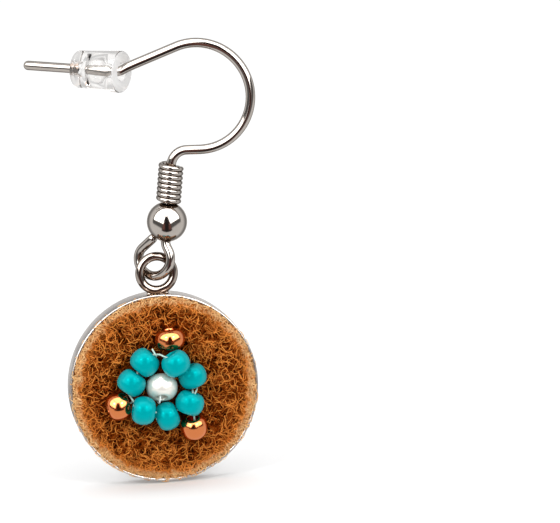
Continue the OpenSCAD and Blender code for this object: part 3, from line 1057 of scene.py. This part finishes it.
# The thread: the thickness of each stretch as a share, and its points on the pendant as x, y and height above
# the rim in mm
THREADS = {
    "thread_1_2": (1.0, [(-1.15, 2.68, 1.24), (-0.84, 2.8, 1.4), (-0.42, 2.82, 1.6), (-0.1, 2.68, 1.85),
                         (0.25, 2.55, 2.1)]),
    "thread_2_3": (1.2, [(1.0, 1.75, 2.1), (1.2, 1.5, 2.05), (1.5, 1.52, 1.6), (1.74, 1.66, 1.1),
                         (1.85, 1.3, 1.06)]),
    "thread_3_4": (1.25, [(1.82, 0.5, 1.06), (1.87, 0.2, 1.1), (1.9, 0.0, 1.25), (1.92, -0.2, 1.42),
                          (1.85, -0.5, 1.5)]),
    "thread_4_5": (1.5, [(0.35, -1.8, 1.27), (0.62, -1.56, 1.32), (0.78, -1.4, 1.36), (0.95, -1.28, 1.42),
                         (1.35, -1.4, 1.5)]),
    "thread_5_6": (1.1, [(-0.5, -2.1, 1.27), (-0.84, -2.0, 1.3), (-0.86, -1.62, 1.5), (-0.95, -1.42, 1.8),
                         (-1.3, -1.32, 1.98)]),
    "thread_6_7": (1.3, [(-2.2, -1.0, 1.98), (-2.5, -0.85, 1.8), (-2.5, -0.6, 1.6), (-2.68, -0.25, 1.35),
                         (-2.8, 0.0, 1.25), (-2.7, 0.5, 1.32)]),
    "thread_7_1": (1.5, [(-2.35, 1.1, 1.32), (-2.2, 1.3, 1.38), (-2.12, 1.5, 1.42), (-2.05, 1.69, 1.35),
                         (-1.9, 1.9, 1.24)]),
    "thread_pearl": (2.4, [(-0.45, 0.1, 1.3), (-0.52, -0.15, 1.75), (-0.58, -0.45, 1.88),
                           (-0.62, -0.72, 1.72), (-0.62, -0.88, 1.0), (-0.6, -0.9, 0.2)]),
    "thread_top": (1.2, [(0.48, 3.5, 1.06), (0.45, 3.1, 1.0), (0.42, 2.98, 0.7), (0.4, 2.95, 0.1)]),
    "thread_knot": (1.75, [(-0.94, 3.28, 1.7), (-0.86, 3.12, 1.84), (-0.76, 2.92, 1.86), (-0.66, 2.78, 1.7),
                           (-0.64, 2.7, 1.5)]),
    "thread_left": (1.3, [(-3.1, -0.8, 1.08), (-2.75, -0.74, 1.1), (-2.6, -0.72, 0.9), (-2.5, -0.8, 0.1)]),
    "thread_right": (1.8, [(1.95, -2.5, 1.2), (1.92, -2.2, 1.44), (1.9, -1.95, 1.36), (1.85, -1.8, 0.9),
                           (1.8, -1.7, 0.1)]),
    "thread_outer": (1.1, [(2.25, 0.45, 1.06), (2.3, 0.14, 1.08), (2.22, -0.08, 1.28), (2.08, -0.3, 1.45),
                           (1.95, -0.5, 1.5)]),
}


def thread_tree():
    """A round thread along the edges of a mesh, smoothed through its points."""
    tree, given = tree_with("sewing_thread", [("Thickness", "Float"), ("Material", "Material")])
    line = put(tree, "GeometryNodeMeshToCurve", {"Mesh": given["Geometry"]})
    smooth = put(tree, "GeometryNodeCurveSplineType", {"Curve": out(line)}, spline_type="CATMULL_ROM")
    fine = put(tree, "GeometryNodeSetSplineResolution", {"Geometry": out(smooth), "Resolution": 8})
    thick = put(tree, "GeometryNodeSetCurveRadius", {
        "Curve": out(fine), "Radius": attribute_of(tree, "weight"),
    })
    finish_tube(tree, out(thick), given["Material"], radius=times(tree, given["Thickness"], 0.5), sides=12)
    return tree


def thread_lines():
    """All stretches of thread as one mesh of edges, with a weight for each point's thickness."""
    shape = bmesh.new()
    weight = shape.verts.layers.float.new("weight")
    for share, points in THREADS.values():
        verts = [shape.verts.new(on_pendant(*p)) for p in points]
        for v in verts:
            v[weight] = share
        for one, two in zip(verts, verts[1:]):
            shape.edges.new([one, two])
    return mesh_of("thread_lines", shape)


# Operators

class EARRING_OT_hook(bpy.types.Operator):
    """Sweeps the bent ear wire"""

    bl_idname = "earring.hook"
    bl_label = "Ear Hook"

    def execute(self, context):
        wire = context.scene.earring_wire
        steel = steel_finish("wire_steel", wire.steel, rough=0.07)
        mesh = mesh_from("ear_wire", lambda shape: build_hook(shape, wire.wire_d, wire.sides))
        new_piece(mesh, HOOK, ["ear_hook"], steel)
        return {"FINISHED"}


class EARRING_OT_coil(bpy.types.Operator):
    """Winds the coil on the stem"""

    bl_idname = "earring.coil"
    bl_label = "Coil"

    def execute(self, context):
        wire = context.scene.earring_wire
        mesh = mesh_by_nodes("stem_coil", coil_tree(), {
            "Turns": float(wire.coil_turns),
            "Height": wire.coil_pitch * (wire.coil_turns - 1),
            "Turn Radius": (wire.coil_d - wire.coil_wire_d) / 2,
            "Wire Radius": wire.coil_wire_d / 2,
            "Points Per Turn": 48,
            "Sides": 16,
            # The coil's steel is tinted darker: painted shade of the gaps between its turns
            "Material": steel_finish("coil_steel", shaded(wire.steel, 0.85), rough=0.07),
        })
        mesh.transform(stem_start().matrix() @ Matrix.Rotation(COIL_START, 4, "Z"))
        new_piece(mesh, HOOK, ["coil"])
        return {"FINISHED"}


class EARRING_OT_ball(bpy.types.Operator):
    """Turns the polished ball on the stem"""

    bl_idname = "earring.ball"
    bl_label = "Ball"

    def execute(self, context):
        wire = context.scene.earring_wire
        stem = stem_start()
        down = (BALL_MIDDLE - stem.place).dot(stem.heading)
        mesh = mesh_from("polished_ball", lambda shape: build_ball(shape, wire.ball_d, wire.ball_bore_d),
                         Matrix.Translation(stem.heading * down) @ stem.matrix())
        steel = steel_finish("ball_steel", wire.steel, rough=0.1)
        new_piece(mesh, HOOK, ["ball"], steel)
        return {"FINISHED"}


class EARRING_OT_stopper(bpy.types.Operator):
    """Turns the clear stopper on the tail"""

    bl_idname = "earring.stopper"
    bl_label = "Stopper"

    def execute(self, context):
        wire = context.scene.earring_wire
        profile = stopper_profile(wire)
        mesh = mesh_from("clear_barrel", lambda shape: add_lathe(shape, profile, sides=96),
                         tail_start().matrix())
        new_piece(mesh, STOPPER, ["stopper"], plastic_finish(wire.plastic))
        return {"FINISHED"}


class EARRING_OT_bezel(bpy.types.Operator):
    """Turns the tray with its soldered ring"""

    bl_idname = "earring.bezel"
    bl_label = "Bezel and Ring"

    def execute(self, context):
        sizes = context.scene.earring_pendant
        mesh = mesh_from("bezel_tray", lambda shape: build_bezel(shape, sizes), at_pendant())
        new_piece(mesh, PENDANT, ["bezel"], bezel_finish(sizes.steel))
        return {"FINISHED"}


class EARRING_OT_felt(bpy.types.Operator):
    """Makes the felt pad and its curly wool"""

    bl_idname = "earring.felt"
    bl_label = "Felt"

    def execute(self, context):
        sizes = context.scene.earring_pendant
        mesh = mesh_from("felt_body", lambda shape: build_felt(shape, sizes), at_pendant())
        new_piece(mesh, PENDANT, ["felt_pad"], felt_finish(sizes))
        tree, roots = wool_tree(), root_mesh(sizes)
        for name in WOOL_LAYERS:
            mesh = mesh_by_nodes(name, tree, layer_values(name, sizes), roots.copy())
            mesh.transform(at_pendant())
            new_piece(mesh, PENDANT)
        return {"FINISHED"}


class EARRING_OT_beads(bpy.types.Operator):
    """Turns the petal beads, the pearl and the copper beads"""

    bl_idname = "earring.beads"
    bl_label = "Beads"

    def execute(self, context):
        sizes = context.scene.earring_beads
        finishes = bead_finishes(sizes)
        for name in BEADS:
            slot, finish = finishes[name.split("_")[0]]
            mesh = mesh_from(name + "_glass", lambda shape: build_bead(shape, name, sizes),
                             bead_matrix(name))
            new_piece(mesh, PENDANT, [name], finish)
        return {"FINISHED"}


class EARRING_OT_thread(bpy.types.Operator):
    """Sews the thread through the beads"""

    bl_idname = "earring.thread"
    bl_label = "Thread"

    def execute(self, context):
        sizes = context.scene.earring_beads
        mesh = mesh_by_nodes("bead_thread", thread_tree(), {
            "Thickness": sizes.thread_d, "Material": thread_finish(sizes.thread),
        }, thread_lines())
        new_piece(mesh, PENDANT)
        return {"FINISHED"}


# Camera: where the photograph was taken from, the picture's size and scale, and the origin's place in it
CAMERA_AZIMUTH = math.radians(-7.6)
CAMERA_ELEVATION = math.radians(9.1)
CAMERA_ROLL = math.radians(3.0)
CAMERA_DISTANCE = 0.36
PICTURE_W, PICTURE_H = 560, 523
PX_PER_M = 13660.0
ORIGIN_PX = (194.1, 42.6)
SENSOR_W = 36.0

# Floor and lamps
FLOOR_GAP = 0.15 * MM
FLOOR_HALF = 2.5
LAMP_ASIDE = math.radians(32)
LAMP_ELEVATION = math.radians(33)
LAMP_DISTANCE = 0.5
LAMP_D = 0.11

# The studio is laid out on the disc of a mirror ball of radius 1. Its room: where it darkens and brightens
# again outwards, and how dark it gets
ROOM_FADES = (0.78, 0.92)
ROOM_RETURNS = (0.985, 0.955)
ROOM_LOSS = 0.68

# The panels: how far out they reach, the height and slope of their lower edge, the line of their seams, the
# width and the level of a seam, and the level of the frame under them
PANELS_REACH = 0.64
PANELS_LOW, PANELS_SLOPE = 0.15, 0.56
SEAM_SLOPE, SEAM_AT = 1.05, -0.215
SEAM_WIDTH, SEAM_LEVEL = 0.035, 0.32
FRAME_LEVEL = 0.16

# The camera's dark shape: its top and foot, its half width and how that changes upwards, and its warm patches
CAMERA_SHAPE_TOP, CAMERA_SHAPE_LOW = 0.27, -0.45
CAMERA_SHAPE_HALF, CAMERA_SHAPE_TAPER = 0.155, -0.33
PATCH_ASIDE, PATCH_BELOW = 0.16, 0.2
CAMERA_DARK, CAMERA_WARM = (0.03, 0.025, 0.025), (0.24, 0.11, 0.09)

# The tint of the room's light, and what a second mirroring leaves of it
ROOM_TINT = (1.0, 0.975, 0.95)
MIRRORED_AGAIN = (0.3, 0.22, 0.17)


def camera_axes():
    """The way that the camera looks, and its right and its up before it is rolled."""
    look = Vector((
        -math.sin(CAMERA_AZIMUTH) * math.cos(CAMERA_ELEVATION),
        math.cos(CAMERA_AZIMUTH) * math.cos(CAMERA_ELEVATION),
        -math.sin(CAMERA_ELEVATION),
    ))
    level = look.cross(Vector((0.0, 0.0, 1.0))).normalized()
    return look, level, level.cross(look)


def make_camera(scene):
    """Camera at the photograph's angle, a little rolled, with the top of the bow at its place in it."""
    look, level, upright = camera_axes()
    right = math.cos(CAMERA_ROLL) * level - math.sin(CAMERA_ROLL) * upright
    up = math.sin(CAMERA_ROLL) * level + math.cos(CAMERA_ROLL) * upright
    focal_px = CAMERA_DISTANCE * PX_PER_M
    aside = (ORIGIN_PX[0] - PICTURE_W / 2) / focal_px
    above = (PICTURE_H / 2 - ORIGIN_PX[1]) / focal_px
    place = -CAMERA_DISTANCE * (look + aside * right + above * up)
    data = bpy.data.cameras.new("camera")
    data.sensor_width = SENSOR_W
    data.lens = focal_px / PICTURE_W * SENSOR_W
    data.clip_start, data.clip_end = 0.01, 10.0
    camera = bpy.data.objects.new("camera", data)
    turned = Matrix((right, up, -look)).transposed().to_4x4()
    camera.matrix_world = Matrix.Translation(place) @ turned
    scene.collection.objects.link(camera)
    scene.camera = camera


def within(tree, value, centre, near, far):
    """1 where a value lies nearer than near to the centre, easing to 0 at far."""
    return eased(tree, maths(tree, "ABSOLUTE", less(tree, value, centre)), near, far, 1.0, 0.0)


def on_ball(tree, way):
    """Where a direction lies on the ball's disc, as ahead, across, above and from the disc's middle."""
    look, level, upright = camera_axes()
    ahead = dot(tree, way, -look)
    shrink = maths(tree, "MAXIMUM", maths(tree, "MULTIPLY_ADD", ahead, 2.0, 2.0), 0.001)
    shrink = maths(tree, "INVERSE_SQRT", shrink)
    across = times(tree, maths(tree, "ABSOLUTE", dot(tree, way, level)), shrink)
    above = times(tree, dot(tree, way, upright), shrink)
    from_middle = maths(tree, "SQRT", added(tree, times(tree, across, across), times(tree, above, above)))
    return ahead, across, above, from_middle


def studio_brightness(tree, across, above, from_middle, light):
    """The pale room with its darker edge, the panels with their seams, and the frame under them."""
    edge = times(tree, eased(tree, from_middle, *ROOM_FADES), eased(tree, from_middle, *ROOM_RETURNS))
    room = times(tree, maths(tree, "MULTIPLY_ADD", edge, -ROOM_LOSS, 1.0), light.room)
    ring = less(tree, PANELS_REACH, from_middle)
    slope = times(tree, less(tree, PANELS_REACH, across), PANELS_SLOPE)
    lower = times(tree, added(tree, less(tree, above, PANELS_LOW), slope), 0.87)
    frame_band = times(tree, eased(tree, lower, -0.24, -0.13), eased(tree, ring, -0.07, -0.02))
    room = times(tree, room, eased(tree, frame_band, 0.0, 1.0, 1.0, FRAME_LEVEL))
    seam_at = maths(tree, "MULTIPLY_ADD", above, SEAM_SLOPE, SEAM_AT)
    seam = maths(tree, "ABSOLUTE", less(tree, across, seam_at))
    panels = times(tree, eased(tree, seam, 0.0, SEAM_WIDTH, SEAM_LEVEL, 1.0), light.panels)
    inside = eased(tree, maths(tree, "MINIMUM", ring, lower), -0.01, 0.025)
    return out(put(tree, "ShaderNodeMix", {"Factor": inside, "A": room, "B": panels}, data_type="FLOAT"))


def camera_shape(tree, across, above):
    """1 in the camera's dark shape, which is wider below and rounded at its foot, and 0 beside it."""
    half_width = maths(tree, "MULTIPLY_ADD", above, CAMERA_SHAPE_TAPER, CAMERA_SHAPE_HALF)
    rise = less(tree, above, CAMERA_SHAPE_LOW)
    rounded = maths(tree, "MULTIPLY_ADD", times(tree, across, across), -1.2, rise)
    shape = eased(tree, less(tree, half_width, across), -0.02, 0.03)
    shape = times(tree, shape, eased(tree, rounded, -0.03, 0.02))
    return times(tree, shape, eased(tree, above, CAMERA_SHAPE_TOP + 0.02, CAMERA_SHAPE_TOP - 0.04))


def studio_tree(light):
    """What a mirror ball shows of the studio, as a group: direction in, colour out.

    The disc of the ball, seen from the camera, is the map: three panels inside a ring, with dark frames under
    them, the dark shape of the camera between them with a warm patch on each side, and the pale room all
    round. Light that has been mirrored more than once, as between the turns of the coil, comes back brown and
    weak.
    """
    tree = bpy.data.node_groups.new("studio", "ShaderNodeTree")
    tree.interface.new_socket("Direction", in_out="INPUT", socket_type="NodeSocketVector")
    tree.interface.new_socket("Light", in_out="OUTPUT", socket_type="NodeSocketColor")
    tree.interface.new_socket("Front", in_out="OUTPUT", socket_type="NodeSocketFloat")
    way = vector_maths(tree, "NORMALIZE", out(tree.nodes.new("NodeGroupInput")))
    ahead, across, above, from_middle = on_ball(tree, way)
    found = studio_brightness(tree, across, above, from_middle, light)
    pale = scaled(tree, ROOM_TINT, found)
    patches = times(tree, within(tree, across, PATCH_ASIDE, 0.02, 0.1),
                    within(tree, above, -PATCH_BELOW, 0.08, 0.2))
    dark = mixed(tree, patches, CAMERA_DARK, CAMERA_WARM)
    again = less(tree, out(put(tree, "ShaderNodeLightPath"), "Glossy Depth"), 1.0)
    again = maths(tree, "MINIMUM", maths(tree, "MAXIMUM", again, 0.0), 1.0)
    kept = mixed(tree, again, (1.0, 1.0, 1.0), MIRRORED_AGAIN)
    seen = mixed(tree, camera_shape(tree, across, above), pale, dark)
    put(tree, "NodeGroupOutput", {
        "Light": vector_maths(tree, "MULTIPLY", seen, kept), "Front": eased(tree, ahead, -0.1, 0.2),
    })
    return tree


def inside_plastic(tree, path):
    """1 for light that has gone into the clear plastic, and 0 for other light."""
    return maths(tree, "MINIMUM", out(path, "Transmission Depth"), 1.0)


def seen_by_gloss(tree, front):
    """1 for what is mirrored in the earring, and 0 for plain light.

    What the clear plastic mirrors inside gets half, and what it bends gets a share of what lies in front.
    """
    path = put(tree, "ShaderNodeLightPath")
    share = maths(tree, "MULTIPLY_ADD", inside_plastic(tree, path), -0.5, 1.0)
    mirrored = times(tree, out(path, "Is Glossy Ray"), share)
    through = times(tree, out(path, "Is Transmission Ray"), times(tree, front, 0.7))
    return maths(tree, "MAXIMUM", mirrored, through)


def make_world(scene, light, studio):
    """White tent for the camera and for soft light, with the studio's panels and camera shape in mirrors."""
    world = bpy.data.worlds.new("tent")
    world.use_nodes = True
    tree = world.node_tree
    tree.nodes.clear()
    way = out(put(tree, "ShaderNodeTexCoord"), "Generated")
    mirrored = put(tree, "ShaderNodeGroup", node_tree=studio)
    tree.links.new(way, mirrored.inputs["Direction"])
    height = out(put(tree, "ShaderNodeSeparateXYZ", {"Vector": way}), "Z")
    dome = eased(tree, height, 0.0, 0.8, light.dome, light.zenith)
    path = put(tree, "ShaderNodeLightPath")
    white = maths(tree, "MAXIMUM", out(path, "Is Camera Ray"), inside_plastic(tree, path))
    plain = maths(tree, "MAXIMUM", dome, white)
    gloss = seen_by_gloss(tree, out(mirrored, "Front"))
    even = put(tree, "ShaderNodeCombineColor", {"Red": plain, "Green": plain, "Blue": plain})
    background = put(tree, "ShaderNodeBackground", {"Color": mixed(tree, gloss, out(even), out(mirrored))})
    put(tree, "ShaderNodeOutputWorld", {"Surface": out(background)})
    scene.world = world


def paper_finish(light, studio):
    """Pale paper. Mirrored rays see the studio there, because its lower half lies behind the floor."""
    look = Finish("paper", Roughness=0.9, Specular_IOR_Level=0.0)
    tree = look.tree
    grain = noise_at(tree, look.place, scale=300.0)
    look.feed(Base_Color=mixed(tree, grain, shaded(light.floor, 0.995), light.floor))
    place = out(put(tree, "ShaderNodeNewGeometry"), "Position")
    mirrored = put(tree, "ShaderNodeGroup", node_tree=studio)
    tree.links.new(vector_maths(tree, "SUBTRACT", place, RING_MIDDLE), mirrored.inputs["Direction"])
    glow = put(tree, "ShaderNodeEmission", {"Color": out(mirrored)})
    both = put(tree, "ShaderNodeMixShader", {
        "Fac": seen_by_gloss(tree, out(mirrored, "Front")), 1: out(look.shader), 2: out(glow),
    })
    tree.links.new(out(both), look.output.inputs["Surface"])
    return look.material


def add_lamp(scene, name, azimuth, strength):
    """A round soft light that faces the earring."""
    data = bpy.data.lights.new(name, "AREA")
    data.shape = "DISK"
    data.size = LAMP_D
    data.energy = strength * math.pi * math.pi * LAMP_D ** 2 / 4
    lamp = bpy.data.objects.new(name, data)
    level = math.cos(LAMP_ELEVATION)
    back = Vector((math.sin(azimuth) * level, -math.cos(azimuth) * level, math.sin(LAMP_ELEVATION)))
    place = (CAD_BOX[0] + CAD_BOX[1]) / 2 + back * LAMP_DISTANCE
    lamp.matrix_world = Matrix.Translation(place) @ back.to_track_quat("Z", "Y").to_matrix().to_4x4()
    scene.collection.objects.link(lamp)


def lay_floor(scene, light, studio):
    """A wide floor of paper just under the earring."""
    mesh = bpy.data.meshes.new("floor")
    half, level = FLOOR_HALF, CAD_BOX[0].z - FLOOR_GAP
    corners = [(-half, -half, level), (half, -half, level), (half, half, level), (-half, half, level)]
    mesh.from_pydata(corners, [], [(0, 1, 2, 3)])
    mesh.materials.append(paper_finish(light, studio))
    floor = bpy.data.objects.new("floor", mesh)
    scene.collection.objects.link(floor)


class EARRING_OT_stage(bpy.types.Operator):
    """Lays the floor and sets up the light and the camera"""

    bl_idname = "earring.stage"
    bl_label = "Floor, Light and Camera"

    def execute(self, context):
        scene = context.scene
        light = scene.earring_stage
        studio = studio_tree(light)
        lay_floor(scene, light, studio)
        make_world(scene, light, studio)
        for side, name in ((-1, "lamp_left"), (1, "lamp_right")):
            add_lamp(scene, name, CAMERA_AZIMUTH + side * LAMP_ASIDE, light.lamps)
        make_camera(scene)
        scene.view_settings.view_transform = "Standard"
        scene.view_settings.look = "None"
        return {"FINISHED"}


class EARRING_PT_sidebar(bpy.types.Panel):
    """Lists the earring's sizes, colours and operators"""

    bl_idname = "EARRING_PT_sidebar"
    bl_label = "Beaded Hook Earring"
    bl_space_type = "VIEW_3D"
    bl_region_type = "UI"
    bl_category = "Earring"

    def draw(self, context):
        for name, group in GROUPS.items():
            box = self.layout.box()
            box.label(text=name.replace("_", " ").title())
            for prop in group.__annotations__:
                box.prop(getattr(context.scene, name), prop)
        for operator in OPERATORS:
            self.layout.operator(operator.bl_idname)


OPERATORS = [
    EARRING_OT_stage, EARRING_OT_hook, EARRING_OT_coil, EARRING_OT_ball, EARRING_OT_stopper, EARRING_OT_bezel,
    EARRING_OT_felt, EARRING_OT_beads, EARRING_OT_thread,
]
CLASSES = [*GROUPS.values(), *OPERATORS, EARRING_PT_sidebar]


def register():
    for each in CLASSES:
        bpy.utils.register_class(each)
    for name, group in GROUPS.items():
        setattr(bpy.types.Scene, name, PointerProperty(type=group))


def unregister():
    for name in GROUPS:
        delattr(bpy.types.Scene, name)
    for each in reversed(CLASSES):
        bpy.utils.unregister_class(each)


def main():
    register()
    for operator in OPERATORS:
        category, name = operator.bl_idname.split(".")
        getattr(getattr(bpy.ops, category), name)()


if __name__ == "__main__":
    main()
